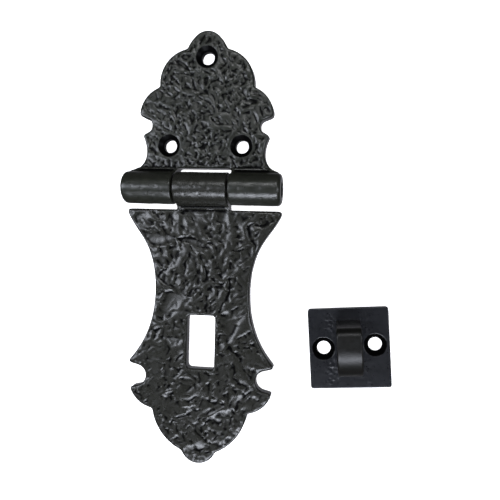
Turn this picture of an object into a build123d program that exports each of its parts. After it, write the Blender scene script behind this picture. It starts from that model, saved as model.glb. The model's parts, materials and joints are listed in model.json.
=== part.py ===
from build123d import *
import os

# An ornamental cast hasp and its separate staple, all sizes in millimetres. +Z points out of the mounting plane,
# +Y from the hinge to the fixed leaf's crown, and the hinge runs along X. The origin is on the mounting plane,
# midway between the lower pair of screw holes. Shapes are made about the hinge and moved there at the end.

# Hinge
barrel_width = 60.0
pin_diameter = 6.0
knuckle_wall = 3.2
middle_knuckle_width = 20.0
knuckle_side_gap = 0.7
fixed_leaf_root_gap = 1.5
hasp_leaf_root_gap = 1.7
knuckle_running_clearance = 0.075
barrel_end_round = 1.2
knuckle_gap_round = 0.4
pin_end_recess = 1.0
pin_end_chamfer = 0.5

# Both leaves
leaf_thickness = 5.0
outline_corner_round = 0.8
front_edge_round = 0.7
opening_corner = 1.2

# Fixed leaf: heights are above the hinge axis, drops are below the top of the crown
fixed_leaf_height = 59.8
shoulder_end_set_back = 1.2
shoulder_height = 6.6
fixed_waist_half_width = 22.8
fixed_horn_half_width = 24.6
fixed_horn_drop = 39.5
fixed_notch_mouth_half_width = 21.6
fixed_notch_foot_drop = 37.9
fixed_notch_top_drop = 33.8
large_lobe_corner_half_width = 24.8
large_lobe_corner_drop = 32.6
large_lobe_half_width = 25.9
large_lobe_drop = 30.8
lobe_cusp_half_width = 18.15
lobe_cusp_drop = 21.2
crown_cusp_half_width = 7.7
crown_cusp_drop = 6.8
crown_flank_half_width = 4.9
crown_flank_drop = 2.4

# Hasp leaf: drops are below the hinge axis, rises are above the tip
hasp_leaf_drop = 105.0
hasp_corner_set_back = 0.2
hasp_corner_height = 1.5
hasp_shoulder_half_width = 27.1
hasp_shoulder_drop = 14.0
hasp_flank_half_width = 22.5
hasp_flank_drop = 20.7
hasp_waist_half_width = 18.25
hasp_waist_drop = 38.0
hasp_hip_half_width = 20.35
hasp_hip_rise = 52.0
hasp_horn_half_width = 28.9
hasp_horn_rise = 37.8
hasp_notch_mouth_half_width = 24.5
hasp_notch_top_rise = 36.7
hasp_notch_foot_rise = 28.8
ear_half_width = 27.8
ear_rise = 28.1
ear_cusp_half_width = 18.6
ear_cusp_rise = 20.2
tip_cusp_half_width = 6.6
tip_cusp_rise = 4.6

# How far each arc of the outlines bows out from its chord; a minus sign bows it in
scoop_bow = -1.7
fixed_waist_bow = -0.45
fixed_notch_bow = -0.75
lobe_corner_bow = 0.35
large_lobe_bow = 1.75
upper_lobe_bow = 3.55
crown_flank_bow = 0.33
hasp_notch_bow = -3.1
ear_bow = 1.8
end_lobe_bow = 2.6

# Screw holes
screw_hole_diameter = 5.2
screw_head_diameter = 8.6
screw_head_depth = 2.0
lower_holes_height = 16.3
lower_holes_spacing = 28.0
crown_hole_drop = 10.0

# Staple
staple_plate_side = 30.0
staple_plate_thickness = 3.0
staple_plate_corner = 0.6
staple_edge_round = 0.4
staple_holes_spacing = 19.2
staple_right_hole_offset = 0.9
loop_width = 8.8
loop_thickness = 2.6
loop_span = 19.0
loop_height = 17.5
loop_tight_bend = 3.2
loop_wide_bend = 12.0
loop_off_centre = 0.9
staple_to_the_right = 56.5
staple_below_hinge = 58.1
staple_turn = 4.3

# Slot of the hasp leaf, which drops over the staple's loop
slot_end_clearance = 0.75
slot_side_clearance = 1.05
slot_corner = 1.1
slot_below_hinge = 58.4

# Worked out from the above
barrel_radius = pin_diameter / 2 + knuckle_wall
half_barrel = barrel_width / 2
half_middle = middle_knuckle_width / 2
outer_knuckle_start = half_middle + knuckle_side_gap
fixed_leaf_edge_reach = barrel_radius + fixed_leaf_root_gap
hasp_leaf_edge_reach = barrel_radius + hasp_leaf_root_gap
slot_width = loop_width + 2 * slot_side_clearance
slot_length = loop_span + 2 * slot_end_clearance

FROM_BACK = (Align.CENTER, Align.CENTER, Align.MIN)


def bowed_edge(start, end, bow, upward):
    """A straight edge, or an arc whose middle lies bow further out from the centre line than its chord."""
    if bow == 0:
        return Line(start, end)
    run = Vector(*end) - Vector(*start)
    outward = Vector(run.Y, -run.X).normalized() * (upward if start[0] + end[0] > 0 else -upward)
    return ThreePointArc(start, (Vector(*start) + Vector(*end)) / 2 + outward * bow, end)


def symmetric_face(edges_of_side, tip_start, tip):
    """A face with the same edges right and left of the Y axis, closed by an arc over its tip and a straight foot."""
    right = edges_of_side(1)
    left = edges_of_side(-1)
    over_tip = ThreePointArc(tip_start, tip, (-tip_start[0], tip_start[1]))
    foot = Line(left[0] @ 0, right[0] @ 0)
    return make_face([*right, *left, over_tip, foot])


def side_edges(side, upward, start, steps):
    """One side of an outline, from its foot. Each step is a corner and the bow of the edge that leads to it."""
    edges = []
    corner = (side * start[0], start[1])
    for x, y, bow in steps:
        edges.append(bowed_edge(corner, (side * x, y), bow, upward))
        corner = (side * x, y)
    return edges


def rounded_plate(face, thickness, corner_round, edge_round):
    """A plate on the mounting plane, rounded at the corners of its outline and along its front edges."""
    solid = extrude(fillet(face.vertices(), corner_round), thickness)
    return fillet(solid.faces().sort_by(Axis.Z)[-1].edges(), edge_round)


def knuckle(x_low, x_high, low_round, high_round):
    """A solid section of the barrel, its two rims rounded."""
    solid = Pos(x_low, 0, barrel_radius) * Rot(0, 90, 0) * Cylinder(barrel_radius, x_high - x_low, align=FROM_BACK)
    solid = fillet(solid.edges().filter_by(GeomType.CIRCLE).sort_by(Axis.X)[0], low_round)
    return fillet(solid.edges().filter_by(GeomType.CIRCLE).sort_by(Axis.X)[-1], high_round)


def along_hinge(radius, length):
    """A cylinder on the hinge axis, centred on the hasp."""
    return Pos(0, 0, barrel_radius) * Rot(0, 90, 0) * Cylinder(radius, length)


def screw_hole(x, y, thickness):
    """A countersunk screw hole through a plate."""
    shank = Cylinder(screw_hole_diameter / 2, thickness, align=FROM_BACK)
    head = Cone(screw_hole_diameter / 2, screw_head_diameter / 2, screw_head_depth, align=FROM_BACK)
    return Pos(x, y, 0) * (shank + Pos(0, 0, thickness - screw_head_depth) * head)


def make_fixed_leaf():
    top = fixed_leaf_height
    shoulder = half_barrel - shoulder_end_set_back
    horn_height = top - fixed_horn_drop
    steps = [
        (shoulder, shoulder_height, 0),
        (fixed_waist_half_width, (shoulder_height + horn_height) / 2, scoop_bow),
        (fixed_horn_half_width, horn_height, fixed_waist_bow),
        (fixed_notch_mouth_half_width, top - fixed_notch_foot_drop, 0),
        (fixed_notch_mouth_half_width, top - fixed_notch_top_drop, fixed_notch_bow),
        (large_lobe_corner_half_width, top - large_lobe_corner_drop, 0),
        (large_lobe_half_width, top - large_lobe_drop, lobe_corner_bow),
        (lobe_cusp_half_width, top - lobe_cusp_drop, large_lobe_bow),
        (crown_cusp_half_width, top - crown_cusp_drop, upper_lobe_bow),
        (crown_flank_half_width, top - crown_flank_drop, crown_flank_bow),
    ]
    face = symmetric_face(
        lambda side: side_edges(side, 1, (shoulder, 0), steps),
        (crown_flank_half_width, top - crown_flank_drop),
        (0, top),
    )
    leaf = rounded_plate(face, leaf_thickness, outline_corner_round, front_edge_round)
    opening = Rectangle(2 * outer_knuckle_start, 2 * fixed_leaf_edge_reach)
    leaf -= extrude(fillet(opening.vertices().group_by(Axis.Y)[-1], opening_corner), leaf_thickness)
    leaf += knuckle(outer_knuckle_start, half_barrel, knuckle_gap_round, barrel_end_round)
    leaf += knuckle(-half_barrel, -outer_knuckle_start, barrel_end_round, knuckle_gap_round)
    leaf -= along_hinge(pin_diameter / 2, barrel_width)
    leaf -= screw_hole(0, top - crown_hole_drop, leaf_thickness)
    for x in (-lower_holes_spacing / 2, lower_holes_spacing / 2):
        leaf -= screw_hole(x, lower_holes_height, leaf_thickness)
    return leaf


def make_hasp_leaf():
    tip = -hasp_leaf_drop
    corner = half_barrel - hasp_corner_set_back
    edge_height = -hasp_leaf_edge_reach
    flank_start = (corner, edge_height - hasp_corner_height)
    horn = (hasp_horn_half_width, tip + hasp_horn_rise)
    steps = [
        (hasp_notch_mouth_half_width, tip + hasp_notch_top_rise, 0),
        (hasp_notch_mouth_half_width, tip + hasp_notch_foot_rise, hasp_notch_bow),
        (ear_half_width, tip + ear_rise, 0),
        (ear_cusp_half_width, tip + ear_cusp_rise, ear_bow),
        (tip_cusp_half_width, tip + tip_cusp_rise, end_lobe_bow),
    ]
    flank = [
        flank_start,
        (hasp_shoulder_half_width, -hasp_shoulder_drop),
        (hasp_flank_half_width, -hasp_flank_drop),
        (hasp_waist_half_width, -hasp_waist_drop),
        (hasp_hip_half_width, tip + hasp_hip_rise),
        horn,
    ]

    def side_of_leaf(side):
        top_corner = Line((side * corner, edge_height), (side * corner, flank_start[1]))
        curve = Spline(*[(side * x, y) for x, y in flank])
        return [top_corner, curve, *side_edges(side, -1, horn, steps)]

    face = symmetric_face(side_of_leaf, (tip_cusp_half_width, tip + tip_cusp_rise), (0, tip))
    leaf = rounded_plate(face, leaf_thickness, outline_corner_round, front_edge_round)
    slot = fillet(Rectangle(slot_width, slot_length).vertices(), slot_corner)
    leaf -= Pos(0, -slot_below_hinge, 0) * extrude(slot, leaf_thickness)
    neck_depth = hasp_leaf_edge_reach + front_edge_round
    leaf += Pos(0, -neck_depth / 2, 0) * Box(middle_knuckle_width, neck_depth, leaf_thickness, align=FROM_BACK)
    leaf += knuckle(-half_middle, half_middle, knuckle_gap_round, knuckle_gap_round)
    leaf -= along_hinge(pin_diameter / 2 + knuckle_running_clearance, barrel_width)
    return leaf


def make_hinge_pin():
    pin = along_hinge(pin_diameter / 2, barrel_width - 2 * pin_end_recess)
    return chamfer(pin.edges().filter_by(GeomType.CIRCLE), pin_end_chamfer)


def make_staple_loop():
    """A flat strip bent into a square-shouldered arch, tight at the end nearer the hinge, with its feet in the plate."""
    height = staple_plate_thickness + loop_height
    outside = Rectangle(loop_span, height, align=(Align.CENTER, Align.MIN))
    inside = Rectangle(loop_span - 2 * loop_thickness, height - loop_thickness, align=(Align.CENTER, Align.MIN))
    top_corners = outside.vertices().group_by(Axis.Y)[-1].sort_by(Axis.X)
    outside = fillet(top_corners[0], loop_wide_bend)
    outside = fillet(outside.vertices().group_by(Axis.X)[-1].sort_by(Axis.Y)[-1], loop_tight_bend)
    top_corners = inside.vertices().group_by(Axis.Y)[-1].sort_by(Axis.X)
    inside = fillet(top_corners[0], loop_wide_bend - loop_thickness)
    inside = fillet(inside.vertices().group_by(Axis.X)[-1].sort_by(Axis.Y)[-1], loop_tight_bend - loop_thickness)
    return extrude(Plane.YZ * (outside - inside), loop_width / 2, both=True)


def make_staple_plate(loop):
    square = Rectangle(staple_plate_side, staple_plate_side)
    staple = rounded_plate(square, staple_plate_thickness, staple_plate_corner, staple_edge_round)
    staple -= screw_hole(-staple_holes_spacing / 2, 0, staple_plate_thickness)
    staple -= screw_hole(staple_holes_spacing / 2, staple_right_hole_offset, staple_plate_thickness)
    return staple - loop


from_hinge = Pos(0, -lower_holes_height, 0)
beside_slot = from_hinge * Pos(staple_to_the_right, -staple_below_hinge, 0) * Rot(0, 0, staple_turn)
staple_loop = Pos(0, loop_off_centre, 0) * make_staple_loop()
parts = {
    "fixed_leaf": from_hinge * make_fixed_leaf(),
    "hasp_leaf": from_hinge * make_hasp_leaf(),
    "hinge_pin": from_hinge * make_hinge_pin(),
    "staple_plate": beside_slot * make_staple_plate(staple_loop),
    "staple_loop": beside_slot * staple_loop,
}
os.makedirs("parts", exist_ok=True)
for name, part in parts.items():
    export_step(part, f"parts/{name}.step")
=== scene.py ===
import json
import math

import bmesh
import bpy
import numpy as np
from mathutils import Matrix, Vector
from mathutils.geometry import delaunay_2d_cdt
from mathutils.kdtree import KDTree


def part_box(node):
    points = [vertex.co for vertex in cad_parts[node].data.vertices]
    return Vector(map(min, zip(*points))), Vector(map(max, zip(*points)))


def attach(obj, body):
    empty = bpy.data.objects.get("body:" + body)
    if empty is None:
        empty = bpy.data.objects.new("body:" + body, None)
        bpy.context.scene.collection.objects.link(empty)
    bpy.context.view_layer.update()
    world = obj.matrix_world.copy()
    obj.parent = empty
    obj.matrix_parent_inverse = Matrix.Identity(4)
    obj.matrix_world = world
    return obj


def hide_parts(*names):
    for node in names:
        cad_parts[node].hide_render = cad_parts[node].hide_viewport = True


# A cast hasp with a crumpled face and its staple, in metres: +Z out of the mounting plane, +Y from the hinge
# to the crown. The leaves, the staple plate and the loop are rebuilt as dense closed meshes; the pin stays as
# the CAD has it.
MM = 0.001

# Leaves
LEAF_THICKNESS = 5.0 * MM
OUTLINE_STEP = 0.4 * MM
SURFACE_STEP = 0.32 * MM
RELIEF_DROP = 0.42 * MM
RIM_ROUND = 0.75 * MM
FOOT_ROUND = 0.2 * MM
COUNTERSINK_RADIUS = 4.3 * MM
COUNTERSINK_DEPTH = 2.0 * MM
BARREL_FILLET = 1.6 * MM
UPPER_HOLLOW_DEPTH = 0.045 * MM
LOWER_HOLLOW_DEPTH = 0.042 * MM
RIM_INSETS = (0.06, 0.17, 0.33, 0.55, 0.85)
WALL_LEVELS = (0.7, 0.4, 0.12)
COUNTERSINK_SHARES = (0.25, 0.5, 0.75, 0.92, 1.0, 1.05, 1.14)

# Barrel
BARREL_END_ROUND = 1.5 * MM
KNUCKLE_GAP_ROUND = 0.45 * MM
BARREL_STEP = 0.4 * MM
BARREL_SEGMENTS = 112
KNUCKLE_CLEARANCE = 0.075 * MM

# Staple plate
STAPLE_RIM_ROUND = 0.35 * MM
STAPLE_RELIEF_DROP = 0.1 * MM
STAPLE_HOLLOW_DEPTH = 0.15 * MM

# Staple loop
LOOP_WIDTH = 8.8 * MM
LOOP_THICKNESS = 2.6 * MM
LOOP_SPAN = 19.0 * MM
LOOP_TIGHT_BEND = 3.2 * MM
LOOP_WIDE_BEND = 12.0 * MM
LOOP_EDGE_ROUND = 0.4 * MM

# Camera and framing
CAMERA_PLACE = Vector((52.0, -33.3, 185.9)) * MM
CAMERA_PAN, CAMERA_TILT, CAMERA_ROLL = 0.1023, -0.0181, 0.0270
CAMERA_LENS = 35.23
CAMERA_SHIFT = (-0.08, -0.01)

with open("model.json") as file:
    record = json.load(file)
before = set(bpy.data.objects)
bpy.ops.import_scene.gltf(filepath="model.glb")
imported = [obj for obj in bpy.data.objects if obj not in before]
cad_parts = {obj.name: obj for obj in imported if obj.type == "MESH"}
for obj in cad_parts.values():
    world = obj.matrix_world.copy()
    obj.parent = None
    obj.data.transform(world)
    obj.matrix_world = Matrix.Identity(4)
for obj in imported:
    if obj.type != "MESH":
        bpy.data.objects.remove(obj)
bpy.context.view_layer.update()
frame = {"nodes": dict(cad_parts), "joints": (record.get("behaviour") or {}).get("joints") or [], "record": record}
hinge = Vector(next(j for j in frame["joints"] if j["type"] == "hinge")["pos_m"])
barrel_radius = hinge.z
padlock_eye = next(m for m in frame["record"]["mounts"] if m["name"] == "padlock_eye")
loop_centre = Vector(padlock_eye["pos_m"])
loop_turn = math.atan2(padlock_eye["axis"][1], padlock_eye["axis"][0])


# ---------------------------------------------------------------- noise

def lattice_noise(points, size, seed):
    """Smooth value noise from -1 to 1 at 2-D or 3-D points, with features about size across."""
    scaled = points / size
    corner = np.floor(scaled).astype(np.int64)
    part = scaled - corner
    part = part * part * (3 - 2 * part)
    total = np.zeros(len(points))
    for bits in range(2 ** points.shape[1]):
        step = np.array([(bits >> axis) & 1 for axis in range(points.shape[1])])
        weight = np.prod(np.where(step == 1, part, 1 - part), axis=1)
        cell = corner + step
        mixed = np.full(len(points), seed * 374761393, np.int64)
        for axis, prime in zip(range(points.shape[1]), (668265263, 2246822519, 3266489917)):
            mixed = (mixed ^ (cell[:, axis] * prime)) * 1274126177 & 0x7FFFFFFF
            mixed = mixed ^ (mixed >> 13)
        total += weight * ((mixed & 0xFFFF) / 32767.5 - 1)
    return total


def dished(points, rng, cell, depth, tilt, stretch):
    """Overlapping tilted dishes, each elongated its own way: the lowest one wins, so they meet in creases."""
    low, high = points.min(0) - 2 * cell, points.max(0) + 2 * cell
    count = int(np.prod(high - low) / cell ** 2)
    centre = rng.uniform(low, high, (count, 2))
    turn = rng.uniform(0, math.pi, count)
    longer = rng.uniform(1.0, stretch, count)
    lean = rng.normal(0, tilt, (count, 2))
    rise = rng.uniform(0, depth, count)
    best = np.full(len(points), np.inf)
    for i in range(count):
        away = points - centre[i]
        c, s = math.cos(turn[i]), math.sin(turn[i])
        along = (away[:, 0] * c + away[:, 1] * s) / (cell * longer[i])
        across = (away[:, 1] * c - away[:, 0] * s) / cell * longer[i]
        bowl = depth * (along ** 2 + across ** 2) + away @ lean[i] + rise[i]
        best = np.minimum(best, bowl)
    return best


def crumpled(points, seed, cell, depth, tilt, stretch):
    """Relief of crumpled foil, centred on zero: ridges from one field of dishes, grooves from another."""
    rng = np.random.default_rng(seed)
    warp = np.stack([lattice_noise(points, 2.2 * cell, seed + k) for k in (1, 2)], 1)
    points = points + 0.45 * cell * warp
    ridges = dished(points, rng, cell, depth, tilt, stretch)
    grooves = dished(points + 0.5 * cell, rng, cell, depth, tilt, stretch)
    relief = ridges - grooves
    return relief - np.median(relief)


def folded(points, seed, spacing, length, step_height):
    """Short curved folds: the metal steps down sharply across each and eases back to level on both sides."""
    rng = np.random.default_rng(seed)
    low, high = points.min(0), points.max(0)
    count = int(np.prod(high - low) / spacing ** 2)
    warp = np.stack([lattice_noise(points, 1.6 * MM, seed + k) for k in (1, 2)], 1)
    points = points + 0.35 * MM * warp
    relief = np.zeros(len(points))
    for centre, turn, reach, bend, height in zip(
        rng.uniform(low, high, (count, 2)),
        rng.uniform(0, 2 * math.pi, count),
        rng.uniform(0.4, 1.0, count) * length / 2,
        rng.uniform(-0.12, 0.12, count) / MM,
        rng.uniform(0.4, 1.0, count) * step_height,
    ):
        away = points - centre
        along = away[:, 0] * math.cos(turn) + away[:, 1] * math.sin(turn)
        across = away[:, 1] * math.cos(turn) - away[:, 0] * math.sin(turn) - bend * along ** 2 / 2
        fade = np.clip(1 - (along / reach) ** 2, 0, 1)
        side = np.clip(across / (0.16 * MM), -1, 1)
        relief += height * fade * side * np.exp(-np.abs(across) / (0.8 * MM))
    return relief


# ---------------------------------------------------------------- outlines

def bottom_loops(node):
    """The closed outlines of a CAD node's flat back, as lists of 2-D points."""
    bm = bmesh.new()
    bm.from_mesh(node.data)
    bmesh.ops.remove_doubles(bm, verts=bm.verts, dist=1e-6)
    flat = {f for f in bm.faces if all(v.co.z < 1e-6 for v in f.verts)}
    ways = {}
    for edge in bm.edges:
        if sum(f in flat for f in edge.link_faces) == 1:
            a, b = edge.verts
            ways.setdefault(a, []).append(b)
            ways.setdefault(b, []).append(a)
    loops = []
    left = set(ways)
    while left:
        start = min(left, key=lambda v: v.index)
        loop, before, at = [], None, start
        while at in left:
            left.discard(at)
            loop.append((at.co.x, at.co.y))
            ahead = [v for v in ways[at] if v is not before]
            before, at = at, ahead[0]
        loops.append(np.array(loop))
    bm.free()
    return loops


def area(loop):
    x, y = loop[:, 0], loop[:, 1]
    return 0.5 * float(np.sum(x * np.roll(y, -1) - y * np.roll(x, -1)))


def resampled(loop, step, smoothing):
    """The loop with evenly spaced points, turning left round its inside, its facets smoothed away."""
    if area(loop) < 0:
        loop = loop[::-1]
    closed = np.vstack([loop, loop[:1]])
    run = np.concatenate([[0], np.cumsum(np.linalg.norm(np.diff(closed, axis=0), axis=1))])
    count = max(12, int(round(run[-1] / step)))
    at = np.linspace(0, run[-1], count, endpoint=False)
    points = np.stack([np.interp(at, run, closed[:, k]) for k in (0, 1)], 1)
    return smoothed(points, smoothing)


def smoothed(loop, passes):
    """The loop with each point drawn towards its neighbours."""
    for _ in range(passes):
        loop = 0.5 * loop + 0.25 * (np.roll(loop, 1, 0) + np.roll(loop, -1, 0))
    return loop


def left_normals(loop):
    """Unit normals that point to the left of the loop's travel."""
    ahead = np.roll(loop, -1, 0) - np.roll(loop, 1, 0)
    ahead /= np.linalg.norm(ahead, axis=1)[:, None]
    return np.stack([-ahead[:, 1], ahead[:, 0]], 1)


def inside(points, loops):
    """True where a point is inside an odd number of loops."""
    result = np.zeros(len(points), bool)
    for loop in loops:
        ends = np.roll(loop, -1, 0)
        for (x0, y0), (x1, y1) in zip(loop, ends):
            if y0 != y1:
                hit = (points[:, 1] > min(y0, y1)) & (points[:, 1] <= max(y0, y1))
                cross = x0 + (points[:, 1] - y0) / (y1 - y0) * (x1 - x0)
                result ^= hit & (points[:, 0] < cross)
    return result


def distance_to(samples, points):
    """How far each point is from the nearest sample."""
    tree = KDTree(len(samples))
    for i, (x, y) in enumerate(samples):
        tree.insert((x, y, 0), i)
    tree.balance()
    return np.array([tree.find((x, y, 0))[2] for x, y in points])


# ---------------------------------------------------------------- plate mesh

class Plate:
    """The outline of one plate, its rounded rim, its screw holes and its openings."""

    def __init__(
        self, node, thickness, rim_round, relief_drop, hollow_depth, calming=0, crisp_openings=False
    ):
        self.thickness = thickness
        self.rim_round = rim_round
        self.relief_drop = relief_drop
        self.hollow_depth = hollow_depth
        self.calming = calming
        self.openings = []
        loops = sorted((resampled(l, OUTLINE_STEP, 2) for l in bottom_loops(node)), key=area)
        self.outer = loops.pop()
        self.rims = [self.outer]
        self.holes = []
        for loop in loops:
            centre = loop.mean(0)
            radii = np.linalg.norm(loop - centre, axis=1)
            if radii.std() < 0.02 * radii.mean():
                self.holes.append((centre, radii.mean()))
            elif crisp_openings:
                self.openings.append(loop)
            else:
                self.rims.append(loop)
        dense = [resampled(l, 0.08 * MM, 0) for l in self.rims]
        self.rim_samples = np.vstack(dense)

    def hole_loop(self, centre, radius):
        count = max(24, int(2 * math.pi * radius / OUTLINE_STEP))
        turn = np.arange(count) / count * 2 * math.pi
        return centre + radius * np.stack([np.cos(turn), np.sin(turn)], 1)

    def constraint_loops(self):
        return [*self.rims, *self.openings, *(self.hole_loop(c, r) for c, r in self.holes)]

    def front_points(self):
        """Points over the front: rings inside the rim and round the screw holes, and a grid between."""
        rings = []
        for i, loop in enumerate(self.rims):
            inward = left_normals(loop) * (1 if i == 0 else -1)
            for inset in RIM_INSETS:
                ring = loop + inward * inset * MM
                keep = distance_to(self.rim_samples, ring) > 0.93 * inset * MM
                rings.append(ring[keep])
        for centre, radius in self.holes:
            for share in COUNTERSINK_SHARES:
                at = radius + share * (COUNTERSINK_RADIUS - radius)
                rings.append(self.hole_loop(centre, at))
        low, high = self.outer.min(0), self.outer.max(0)
        rows = np.arange(low[1], high[1], SURFACE_STEP * math.sqrt(3) / 2)
        columns = np.arange(low[0], high[0], SURFACE_STEP)
        grid = np.array([(x + (j % 2) * SURFACE_STEP / 2, y) for j, y in enumerate(rows) for x in columns])
        grid = grid[inside(grid, self.rims)]
        grid = grid[distance_to(self.rim_samples, grid) > 1.1 * MM]
        for centre, _ in self.holes:
            grid = grid[np.linalg.norm(grid - centre, axis=1) > COUNTERSINK_RADIUS + 0.5 * MM]
        for loop in self.openings:
            grid = grid[~inside(grid, [loop])]
            grid = grid[distance_to(resampled(loop, 0.08 * MM, 0), grid) > 0.25 * MM]
        return np.vstack([*rings, grid])

    def height(self, points, relief):
        """Height of the front: the relief, dropped over the rounded rim and into the countersinks."""
        edge = distance_to(self.rim_samples, points)
        fade = np.clip((edge - 0.25 * MM) / (1.1 * MM), 0, 1)
        for centre, _ in self.holes:
            ring = np.linalg.norm(points - centre, axis=1) - COUNTERSINK_RADIUS
            fade = np.minimum(fade, np.clip(ring / (1.2 * MM), 0, 1))
        drop = self.relief_drop
        z = self.thickness - drop * (1 - np.tanh(relief * fade / drop))
        past = np.clip(self.rim_round - edge, 0, self.rim_round)
        z -= self.rim_round - np.sqrt(np.maximum(self.rim_round ** 2 - past ** 2, 0))
        for centre, radius in self.holes:
            away = np.linalg.norm(points - centre, axis=1)
            share = np.clip((away - radius) / (COUNTERSINK_RADIUS - radius), 0, 1)
            foot = self.thickness - COUNTERSINK_DEPTH
            cone = foot + (self.thickness - drop - foot) * share
            z = np.where(away < COUNTERSINK_RADIUS, cone, z)
        return z

    def blend_to_barrel(self, points, z):
        """Raises the front in a hollow curve where it runs into the barrel."""
        off = np.abs(points[:, 1] - hinge.y)
        rise = self.thickness + BARREL_FILLET - hinge.z
        foot = math.sqrt((barrel_radius + BARREL_FILLET) ** 2 - rise ** 2)
        near = np.clip(foot - off, 0, BARREL_FILLET)
        curve = self.thickness + BARREL_FILLET - np.sqrt(np.maximum(BARREL_FILLET ** 2 - near ** 2, 0))
        top = hinge.z + rise / (barrel_radius + BARREL_FILLET) * barrel_radius
        return np.where(near > 0, np.maximum(z, np.minimum(curve, top)), z)

    def calmed(self, points, z, faces):
        """Softens the small relief, away from the rims and the screw holes."""
        open_field = distance_to(self.rim_samples, points) > 1.3 * MM
        for centre, _ in self.holes:
            open_field &= np.linalg.norm(points - centre, axis=1) > COUNTERSINK_RADIUS + 0.8 * MM
        return np.where(open_field, averaged(z, faces, self.calming), z)

    def hollows(self, faces):
        """How far each front point lies below its surroundings, from 0 to 1."""
        z = self.front[:, 2]
        hollow = np.clip((averaged(z, faces, 6) - z) / self.hollow_depth - 0.25, 0, 1)
        edge = distance_to(self.rim_samples, self.front[:, :2])
        hollow *= np.clip((edge - 0.8 * MM) / (0.6 * MM), 0, 1)
        return hollow

    def mark_hollows(self, target):
        """Writes the hollows, and 1 in the countersinks, as the mask that the paint reads for its painted shade.
        """
        tree = KDTree(len(self.front))
        for i, point in enumerate(self.front):
            tree.insert(point, i)
        tree.balance()
        values = np.zeros(len(target.data.vertices), np.float32)
        for i, vertex in enumerate(target.data.vertices):
            _, nearest, gap = tree.find(vertex.co)
            if gap < 0.02 * MM:
                values[i] = self.front_hollow[nearest]
            # The countersinks are given full painted shade.
            for centre, _ in self.holes:
                away = math.hypot(vertex.co.x - centre[0], vertex.co.y - centre[1])
                if away < COUNTERSINK_RADIUS * 0.99:
                    values[i] = 1
        target.data.attributes.new("hollow", "FLOAT", "POINT").data.foreach_set("value", values)


def averaged(values, faces, passes):
    """The values with each point's replaced by the mean of its neighbours', a number of times."""
    ends = np.vstack([faces[:, [0, 1]], faces[:, [1, 2]], faces[:, [2, 0]]])
    count = np.bincount(ends.ravel(), minlength=len(values)).clip(1)
    for _ in range(passes):
        total = np.bincount(ends[:, 0], values[ends[:, 1]], len(values))
        total += np.bincount(ends[:, 1], values[ends[:, 0]], len(values))
        values = total / count
    return values


def plate_mesh(name, leaf, relief_of, hinged):
    """One closed mesh: front, rounded rim, walls and flat back."""
    loops = leaf.constraint_loops()
    corners = np.vstack(loops)
    edges, start = [], 0
    for loop in loops:
        n = len(loop)
        edges += [(start + i, start + (i + 1) % n) for i in range(n)]
        start += n
    plan = np.vstack([corners, leaf.front_points()])
    verts, _, faces, origins, _, _ = delaunay_2d_cdt([Vector(p) for p in plan], edges, [], 0, 1e-9)
    plan = np.array([(v.x, v.y) for v in verts])
    faces = np.array(faces)
    faces = faces[inside(plan[faces].mean(1), loops)]
    z = leaf.calmed(plan, leaf.height(plan, relief_of(plan)), faces)
    if hinged:
        z = leaf.blend_to_barrel(plan, z)
    leaf.front = np.column_stack([plan, z])
    leaf.front_hollow = leaf.hollows(faces)
    first = {}
    for new, old in enumerate(origins):
        for o in old:
            first.setdefault(o, new)
    bm = bmesh.new()
    front = [bm.verts.new((x, y, h)) for (x, y), h in zip(plan, z)]
    for a, b, c in faces:
        bm.faces.new((front[a], front[b], front[c]))
    back_points, back_edges, start = [], [], 0
    back_rings = []
    for i, loop in enumerate(loops):
        n = len(loop)
        ring = [front[first[start + k]] for k in range(n)]
        outward = left_normals(loop) * (-1 if i == 0 else 1)
        top = np.array([v.co.z for v in ring])
        for share in WALL_LEVELS:
            wander = 0.0 if i >= len(leaf.rims) else 0.05 * MM
            shift = wander * (lattice_noise(loop + share, 3 * MM, 5) - 1)
            spots = zip(loop, outward, shift, top)
            level = [bm.verts.new((*(p + o * s), t * share)) for p, o, s, t in spots]
            quads(bm, ring, level, outer=i == 0)
            ring = level
        last = smoothed(loop - outward * FOOT_ROUND, 2)
        level = [bm.verts.new((*p, 0)) for p in last]
        quads(bm, ring, level, outer=i == 0)
        back_rings += level
        back_edges += [(len(back_points) + k, len(back_points) + (k + 1) % n) for k in range(n)]
        back_points += [Vector(p) for p in last]
        start += n
    verts, _, faces, origins, _, _ = delaunay_2d_cdt(back_points, back_edges, [], 0, 1e-9)
    flat = np.array([(v.x, v.y) for v in verts])
    faces = np.array(faces)
    sizes = [len(l) for l in loops]
    ends = np.cumsum([0, *sizes])
    outlines = [np.array(back_points)[a:b] for a, b in zip(ends[:-1], ends[1:])]
    for a, b, c in faces[inside(flat[faces].mean(1), outlines)]:
        bm.faces.new([back_rings[origins[v][0]] for v in (c, b, a)])
    bm.verts.ensure_lookup_table()
    loose = [v for v in bm.verts if not v.link_faces]
    bmesh.ops.delete(bm, geom=loose, context="VERTS")
    bmesh.ops.recalc_face_normals(bm, faces=bm.faces)
    return made_object(name, bm)


def quads(bm, upper, lower, outer):
    """A band of faces between two rings of the same length."""
    n = len(upper)
    for k in range(n):
        corners = (upper[k], lower[k], lower[(k + 1) % n], upper[(k + 1) % n])
        bm.faces.new(corners if outer else corners[::-1])


def made_object(name, bm):
    mesh = bpy.data.meshes.new(name)
    bm.to_mesh(mesh)
    bm.free()
    made = bpy.data.objects.new(name, mesh)
    bpy.context.scene.collection.objects.link(made)
    return made


# ---------------------------------------------------------------- barrel

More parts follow.
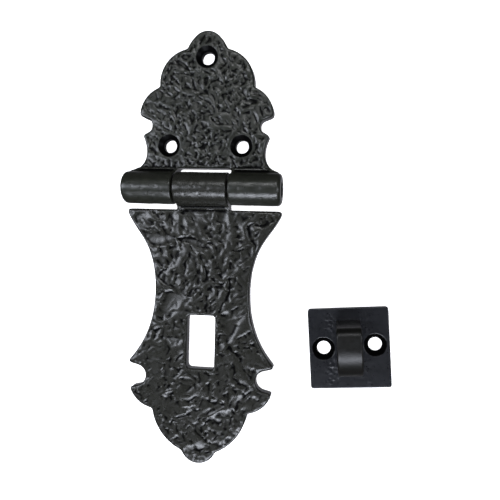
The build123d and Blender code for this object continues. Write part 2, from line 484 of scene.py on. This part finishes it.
def knuckle(name, low, high, low_round, high_round, bore, seed):
    """A tube on the hinge axis with rounded rims and a slightly uneven cast skin."""
    profile = [(low, bore)]
    profile += [(low, barrel_radius - low_round)]
    for k in range(1, 7):
        turn = k / 6 * math.pi / 2
        x = low + low_round * (1 - math.cos(turn))
        profile.append((x, barrel_radius - low_round * (1 - math.sin(turn))))
    count = int((high - low - low_round - high_round) / BARREL_STEP)
    for k in range(1, count):
        profile.append((low + low_round + (high - low - low_round - high_round) * k / count, barrel_radius))
    for k in range(0, 7):
        turn = k / 6 * math.pi / 2
        x = high - high_round * (1 - math.sin(turn))
        profile.append((x, barrel_radius - high_round * (1 - math.cos(turn))))
    profile.append((high, bore))
    x = np.array([p[0] for p in profile])
    radius = np.array([p[1] for p in profile])
    turn = np.arange(BARREL_SEGMENTS) / BARREL_SEGMENTS * 2 * math.pi
    grid_x, grid_turn = np.meshgrid(x, turn, indexing="ij")
    grid_r = np.repeat(radius[:, None], BARREL_SEGMENTS, 1)
    skin = np.stack([grid_x, grid_r * np.cos(grid_turn), grid_r * np.sin(grid_turn)], -1).reshape(-1, 3)
    uneven = 0.06 * MM * (lattice_noise(skin, 3.5 * MM, seed) - 1)
    uneven += 0.035 * MM * (lattice_noise(skin, 1.1 * MM, seed + 3) - 1)
    pits = np.clip(lattice_noise(skin, 0.9 * MM, seed + 7) - 0.62, 0, 1)
    uneven -= 0.35 * MM * pits
    uneven = uneven.reshape(grid_r.shape) * (grid_r > bore + 0.1 * MM)
    grid_r = grid_r + uneven
    bm = bmesh.new()
    rings = []
    for i in range(len(x)):
        ring = []
        for j in range(BARREL_SEGMENTS):
            y = hinge.y + grid_r[i, j] * math.cos(turn[j])
            z = hinge.z + grid_r[i, j] * math.sin(turn[j])
            ring.append(bm.verts.new((x[i], y, z)))
        rings.append(ring)
    rings.append(rings[0])
    for a, b in zip(rings[:-1], rings[1:]):
        for j in range(BARREL_SEGMENTS):
            k = (j + 1) % BARREL_SEGMENTS
            bm.faces.new((a[j], a[k], b[k], b[j]))
    bmesh.ops.recalc_face_normals(bm, faces=bm.faces)
    return made_object(name, bm)


def bore_cutter(radius, low, high):
    bm = bmesh.new()
    place = Matrix.Translation(((low + high) / 2, hinge.y, hinge.z)) @ Matrix.Rotation(math.pi / 2, 4, "Y")
    bmesh.ops.create_cone(
        bm,
        cap_ends=True,
        segments=BARREL_SEGMENTS,
        radius1=radius,
        radius2=radius,
        depth=high - low,
        matrix=place,
    )
    return made_object("bore_cutter", bm)


def combined(target, other, operation):
    """Joins or cuts a closed mesh with another and applies it."""
    step = target.modifiers.new(operation, "BOOLEAN")
    step.operation = operation
    step.solver = "MANIFOLD"
    step.object = other
    graph = bpy.context.evaluated_depsgraph_get()
    graph.update()
    mesh = bpy.data.meshes.new_from_object(target.evaluated_get(graph), depsgraph=graph)
    target.modifiers.clear()
    target.data = mesh
    bpy.data.objects.remove(other)


def knuckle_spans(node):
    """The lowest and highest x of each run of a leaf's barrel."""
    points = node.data.vertices
    spans = []
    for face in node.data.polygons:
        corners = [points[i].co for i in face.vertices]
        if min(c.z for c in corners) > hinge.z:
            spans.append((min(c.x for c in corners), max(c.x for c in corners)))
    merged = []
    for low, high in sorted(spans):
        if merged and low <= merged[-1][1] + 0.01 * MM:
            merged[-1] = (merged[-1][0], max(high, merged[-1][1]))
        else:
            merged.append((low, high))
    return merged


def shade_smooth(target, sharp_degrees):
    target.data.shade_smooth()
    target.data.set_sharp_from_angle(angle=math.radians(sharp_degrees))


# ---------------------------------------------------------------- materials

def material(name):
    made = bpy.data.materials.new(name)
    made.use_nodes = True
    return made, made.node_tree, made.node_tree.nodes["Principled BSDF"]


def noise_node(tree, scale, detail, roughness=0.5):
    place = tree.nodes.get("place") or tree.nodes.new("ShaderNodeTexCoord")
    place.name = "place"
    noise = tree.nodes.new("ShaderNodeTexNoise")
    noise.inputs["Scale"].default_value = scale
    noise.inputs["Detail"].default_value = detail
    noise.inputs["Roughness"].default_value = roughness
    tree.links.new(place.outputs["Object"], noise.inputs["Vector"])
    return noise


def ramp_node(tree, value, stops):
    ramp = tree.nodes.new("ShaderNodeValToRGB")
    while len(ramp.color_ramp.elements) < len(stops):
        ramp.color_ramp.elements.new(0.5)
    for element, (at, colour) in zip(ramp.color_ramp.elements, stops):
        element.position = at
        element.color = (*colour, 1)
    tree.links.new(value, ramp.inputs["Fac"])
    return ramp


def paint_shade_into_hollows(tree, shader, colour):
    """Painted shade in the hollows and countersinks: the colour goes near black there and the shine drops to
    hardly any.
    """
    hollow = tree.nodes.new("ShaderNodeAttribute")
    hollow.attribute_name = "hollow"
    mix = tree.nodes.new("ShaderNodeMix")
    mix.data_type = "RGBA"
    tree.links.new(hollow.outputs["Fac"], mix.inputs["Factor"])
    tree.links.new(colour, mix.inputs["A"])
    # Near-black painted shade where the mask is full.
    mix.inputs["B"].default_value = (0.0015, 0.0015, 0.0015, 1)
    tree.links.new(mix.outputs["Result"], shader.inputs["Base Color"])
    shine = tree.nodes.new("ShaderNodeMapRange")
    shine.inputs["To Min"].default_value = 0.5
    shine.inputs["To Max"].default_value = 0.05
    tree.links.new(hollow.outputs["Fac"], shine.inputs["Value"])
    tree.links.new(shine.outputs["Result"], shader.inputs["Specular IOR Level"])


def paint(name, dark, light, rough, bump_size, bump_depth, shine=0.5, shade_in_hollows=False):
    """Brushed-on semi-gloss black paint: slightly mottled, with orange peel and a few dull patches."""
    made, tree, shader = material(name)
    shader.inputs["Specular IOR Level"].default_value = shine
    mottle = noise_node(tree, 420, 6, 0.6)
    colours = ramp_node(tree, mottle.outputs["Fac"], [(0.3, dark), (0.75, light)])
    tree.links.new(colours.outputs["Color"], shader.inputs["Base Color"])
    dull = noise_node(tree, 900, 5, 0.65)
    span = tree.nodes.new("ShaderNodeMapRange")
    span.inputs["From Min"].default_value = 0.3
    span.inputs["From Max"].default_value = 0.7
    span.inputs["To Min"].default_value = rough[0]
    span.inputs["To Max"].default_value = rough[1]
    tree.links.new(dull.outputs["Fac"], span.inputs["Value"])
    tree.links.new(span.outputs["Result"], shader.inputs["Roughness"])
    # Painted shade in the hollows and countersinks.
    if shade_in_hollows:
        paint_shade_into_hollows(tree, shader, colours.outputs["Color"])
    peel = noise_node(tree, bump_size, 4, 0.55)
    bump = tree.nodes.new("ShaderNodeBump")
    bump.inputs["Strength"].default_value = 1.0
    bump.inputs["Distance"].default_value = bump_depth
    tree.links.new(peel.outputs["Fac"], bump.inputs["Height"])
    tree.links.new(bump.outputs["Normal"], shader.inputs["Normal"])
    return made


# ---------------------------------------------------------------- the leaves

def make_leaf(node_name, relief_of, bore, body, hollow_depth, calming):
    node = frame["nodes"][node_name]
    leaf = Plate(node, LEAF_THICKNESS, RIM_ROUND, RELIEF_DROP, hollow_depth, calming)
    made = plate_mesh(f"{node_name}_cast", leaf, relief_of, hinged=True)
    low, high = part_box(node_name)
    combined(made, bore_cutter(bore, low.x - MM, high.x + MM), "DIFFERENCE")
    for i, (start, end) in enumerate(knuckle_spans(node)):
        outer_left = abs(start - low.x) < 0.3 * MM and start < -20 * MM
        outer_right = abs(end - high.x) < 0.3 * MM and end > 20 * MM
        tube = knuckle(
            f"knuckle_{i}",
            start,
            end,
            BARREL_END_ROUND if outer_left else KNUCKLE_GAP_ROUND,
            BARREL_END_ROUND if outer_right else KNUCKLE_GAP_ROUND,
            bore,
            31 + i,
        )
        combined(made, tube, "UNION")
    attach(made, body)
    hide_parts(node_name)
    leaf.mark_hollows(made)
    shade_smooth(made, 50)
    return made


def fixed_relief(points):
    fine = crumpled(points, 11, 1.5 * MM, 0.19 * MM, 0.08, 1.9)
    broad = lattice_noise(points, 9 * MM, 3)
    return fine * (0.8 + 0.45 * broad) + folded(points, 41, 3.4 * MM, 5 * MM, 0.11 * MM)


def hasp_relief(points):
    coarse = crumpled(points, 23, 2.9 * MM, 0.32 * MM, 0.07, 2.3)
    broad = lattice_noise(points, 9 * MM, 9)
    return coarse * (0.72 + 0.5 * broad) + folded(points, 43, 2.8 * MM, 6.5 * MM, 0.20 * MM)


def staple_relief(points):
    """Nearly flat, with a few shallow hammer marks and weld spatter beside the loop."""
    away = points - np.array(loop_centre.to_2d())
    across = away @ np.array((math.cos(loop_turn), math.sin(loop_turn)))
    beside = np.exp(-((across + 6.5 * MM) / (2.4 * MM)) ** 2)
    beside += 0.5 * np.exp(-((across - 6.5 * MM) / (1.8 * MM)) ** 2)
    waves = 0.035 * MM * lattice_noise(points, 5 * MM, 51)
    waves += 0.012 * MM * lattice_noise(points, 1.3 * MM, 52)
    spatter = 0.13 * MM * lattice_noise(points, 0.8 * MM, 53)
    return waves + beside * spatter + folded(points, 57, 6 * MM, 4 * MM, 0.03 * MM)


def make_staple_plate():
    node = frame["nodes"]["staple_plate"]
    plate = Plate(
        node,
        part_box("staple_plate")[1].z,
        STAPLE_RIM_ROUND,
        STAPLE_RELIEF_DROP,
        STAPLE_HOLLOW_DEPTH,
        crisp_openings=True,
    )
    made = plate_mesh("staple_plate_cast", plate, staple_relief, hinged=False)
    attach(made, "staple")
    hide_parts("staple_plate")
    plate.mark_hollows(made)
    shade_smooth(made, 50)
    return made


def strip_path():
    """The loop's centre line, from one foot to the other: (run, height, direction) in short steps."""
    half = (LOOP_SPAN - LOOP_THICKNESS) / 2
    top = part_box("staple_loop")[1].z - LOOP_THICKNESS / 2
    tight, wide = LOOP_TIGHT_BEND - LOOP_THICKNESS / 2, LOOP_WIDE_BEND - LOOP_THICKNESS / 2
    path = []
    for z in np.arange(0, top - tight, 0.4 * MM):
        path.append((half, z, math.pi / 2))
    for k in range(17):
        turn = k / 16 * math.pi / 2
        run = half - tight * (1 - math.cos(turn))
        path.append((run, top - tight * (1 - math.sin(turn)), math.pi / 2 + turn))
    for run in np.arange(half - tight - 0.4 * MM, wide - half, -0.4 * MM):
        path.append((run, top, math.pi))
    for k in range(37):
        turn = k / 36 * math.pi / 2
        run = wide - half - wide * math.sin(turn)
        path.append((run, top - wide * (1 - math.cos(turn)), math.pi + turn))
    for z in np.arange(top - wide - 0.4 * MM, 0, -0.4 * MM):
        path.append((-half, z, math.pi * 1.5))
    path.append((-half, 0, math.pi * 1.5))
    return path


def strip_section():
    """A rounded rectangle: across the strip and out from its centre line."""
    section = []
    across, out = LOOP_WIDTH / 2 - LOOP_EDGE_ROUND, LOOP_THICKNESS / 2 - LOOP_EDGE_ROUND
    for corner, (sx, sy) in enumerate(((1, 1), (-1, 1), (-1, -1), (1, -1))):
        for k in range(5):
            turn = (corner + k / 4) * math.pi / 2
            section.append((
                sx * across + LOOP_EDGE_ROUND * math.cos(turn),
                sy * out + LOOP_EDGE_ROUND * math.sin(turn),
            ))
    return resampled(np.array(section), 0.35 * MM, 0)


def make_staple_loop():
    place = Matrix.Translation((loop_centre.x, loop_centre.y, 0)) @ Matrix.Rotation(loop_turn, 4, "Z")
    section = strip_section()
    points = []
    for run, z, heading in strip_path():
        out = (math.sin(heading), -math.cos(heading))
        for across, lift in section:
            points.append((across, run + out[0] * lift, z + out[1] * lift))
    points = np.array(points)
    drawn = points * np.array((1, 0.15, 0.15))
    uneven = 0.035 * MM * lattice_noise(drawn, 0.6 * MM, 61) + 0.03 * MM * lattice_noise(points, 3 * MM, 62)
    points[:, 1:] += uneven[:, None]
    points[:, 2] = np.clip(points[:, 2], 0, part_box("staple_loop")[1].z)
    bm = bmesh.new()
    verts = [bm.verts.new(place @ Vector(p)) for p in points]
    n = len(section)
    rings = [verts[i:i + n] for i in range(0, len(verts), n)]
    for a, b in zip(rings[:-1], rings[1:]):
        quads(bm, a, b, outer=True)
    bm.faces.new(rings[0])
    bm.faces.new(rings[-1][::-1])
    bmesh.ops.recalc_face_normals(bm, faces=bm.faces)
    made = made_object("staple_loop_bent", bm)
    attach(made, "staple")
    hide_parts("staple_loop")
    shade_smooth(made, 60)
    return made


pin_radius = (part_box("hinge_pin")[1].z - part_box("hinge_pin")[0].z) / 2
# The leaves and the staple plate get painted shade in their hollows and countersinks.
upper_paint = paint(
    "upper_leaf_paint",
    (0.008, 0.009, 0.006),
    (0.016, 0.017, 0.011),
    (0.26, 0.38),
    2600,
    0.010 * MM,
    shade_in_hollows=True,
)
lower_paint = paint(
    "lower_leaf_paint",
    (0.009, 0.009, 0.006),
    (0.017, 0.017, 0.013),
    (0.24, 0.34),
    1800,
    0.008 * MM,
    shade_in_hollows=True,
)
staple_paint = paint(
    "staple_paint",
    (0.004, 0.0046, 0.006),
    (0.0075, 0.008, 0.0105),
    (0.26, 0.36),
    1500,
    0.008 * MM,
    shade_in_hollows=True,
)
loop_paint = paint(
    "loop_paint",
    (0.002, 0.002, 0.0012),
    (0.004, 0.0038, 0.0025),
    (0.32, 0.44),
    1500,
    0.01 * MM,
    shine=0.32,
)
pin_paint = paint("pin_paint", (0.006, 0.006, 0.006), (0.012, 0.012, 0.012), (0.3, 0.45), 1500, 0.03 * MM)

fixed_leaf = make_leaf("fixed_leaf", fixed_relief, pin_radius, "root", UPPER_HOLLOW_DEPTH, 0)
fixed_leaf.data.materials.clear()
fixed_leaf.data.materials.append(upper_paint)
hasp_bore = pin_radius + KNUCKLE_CLEARANCE
hasp_leaf = make_leaf("hasp_leaf", hasp_relief, hasp_bore, "hasp", LOWER_HOLLOW_DEPTH, 1)
hasp_leaf.data.materials.clear()
hasp_leaf.data.materials.append(lower_paint)
staple_plate = make_staple_plate()
staple_plate.data.materials.append(staple_paint)
staple_loop = make_staple_loop()
staple_loop.data.materials.append(loop_paint)
for slot in frame["nodes"]["hinge_pin"].material_slots:
    slot.material = pin_paint


# ---------------------------------------------------------------- studio

def area_light(name, place, target, size, power, colour):
    light = bpy.data.lights.new(name, "AREA")
    light.shape = "RECTANGLE"
    light.size, light.size_y = size
    light.energy = power
    light.color = colour
    made = bpy.data.objects.new(name, light)
    made.location = place
    made.rotation_mode = "QUATERNION"
    made.rotation_quaternion = (Vector(target) - Vector(place)).to_track_quat("-Z", "Y")
    bpy.context.scene.collection.objects.link(made)


def make_floor():
    bm = bmesh.new()
    bmesh.ops.create_grid(bm, x_segments=1, y_segments=1, size=4.0)
    floor = made_object("floor", bm)
    floor.location.z = -0.05 * MM
    made, _, shader = material("floor_white")
    shader.inputs["Base Color"].default_value = (0.9, 0.9, 0.9, 1)
    shader.inputs["Roughness"].default_value = 0.9
    shader.inputs["Emission Color"].default_value = (1, 1, 1, 1)
    shader.inputs["Emission Strength"].default_value = 1.0
    floor.data.materials.append(made)
    floor.visible_glossy = False
    floor.visible_diffuse = False


def make_world():
    """A dim room for reflections, paler low down than overhead, and white behind the object."""
    world = bpy.data.worlds.new("studio")
    bpy.context.scene.world = world
    world.use_nodes = True
    tree = world.node_tree
    place = tree.nodes.new("ShaderNodeTexCoord")
    split = tree.nodes.new("ShaderNodeSeparateXYZ")
    tree.links.new(place.outputs["Generated"], split.inputs["Vector"])
    height = tree.nodes.new("ShaderNodeMapRange")
    height.inputs["From Min"].default_value = -1
    tree.links.new(split.outputs["Z"], height.inputs["Value"])
    stops = [
        (0.06, (0.46, 0.46, 0.50)),
        (0.20, (0.06, 0.06, 0.065)),
        (0.50, (0.10, 0.10, 0.11)),
        (0.75, (0.04, 0.04, 0.044)),
    ]
    room = ramp_node(tree, height.outputs["Result"], stops)
    dim = tree.nodes["Background"]
    tree.links.new(room.outputs["Color"], dim.inputs["Color"])
    white = tree.nodes.new("ShaderNodeBackground")
    white.inputs["Color"].default_value = (1, 1, 1, 1)
    seen = tree.nodes.new("ShaderNodeLightPath")
    mix = tree.nodes.new("ShaderNodeMixShader")
    tree.links.new(seen.outputs["Is Camera Ray"], mix.inputs["Fac"])
    tree.links.new(dim.outputs["Background"], mix.inputs[1])
    tree.links.new(white.outputs["Background"], mix.inputs[2])
    tree.links.new(mix.outputs["Shader"], tree.nodes["World Output"].inputs["Surface"])


def make_camera():
    data = bpy.data.cameras.new("camera")
    data.lens = CAMERA_LENS
    data.sensor_width = 36
    data.shift_x, data.shift_y = CAMERA_SHIFT
    data.clip_start, data.clip_end = 0.005, 20
    camera = bpy.data.objects.new("camera", data)
    bpy.context.scene.collection.objects.link(camera)
    camera.matrix_world = (
        Matrix.Translation(CAMERA_PLACE)
        @ Matrix.Rotation(CAMERA_PAN, 4, "Y")
        @ Matrix.Rotation(CAMERA_TILT, 4, "X")
        @ Matrix.Rotation(CAMERA_ROLL, 4, "Z")
    )
    bpy.context.scene.camera = camera


make_floor()
make_world()
make_camera()
middle = Vector((20, -40, 0)) * MM
area_light("front_box", (0.02, -0.72, 0.62), middle, (0.6, 0.28), 8, (0.86, 0.90, 1.0))
area_light("back_box", (0.02, 0.46, 0.80), middle, (0.5, 0.14), 2.2, (0.95, 0.97, 1.0))
area_light("left_box", (-0.62, 0.00, 0.68), middle, (0.18, 0.7), 5.0, (0.86, 0.90, 1.0))
area_light("right_box", (0.68, -0.04, 0.66), middle, (0.18, 0.7), 2.8, (0.86, 0.90, 1.0))
bpy.context.scene.view_settings.view_transform = "Standard"
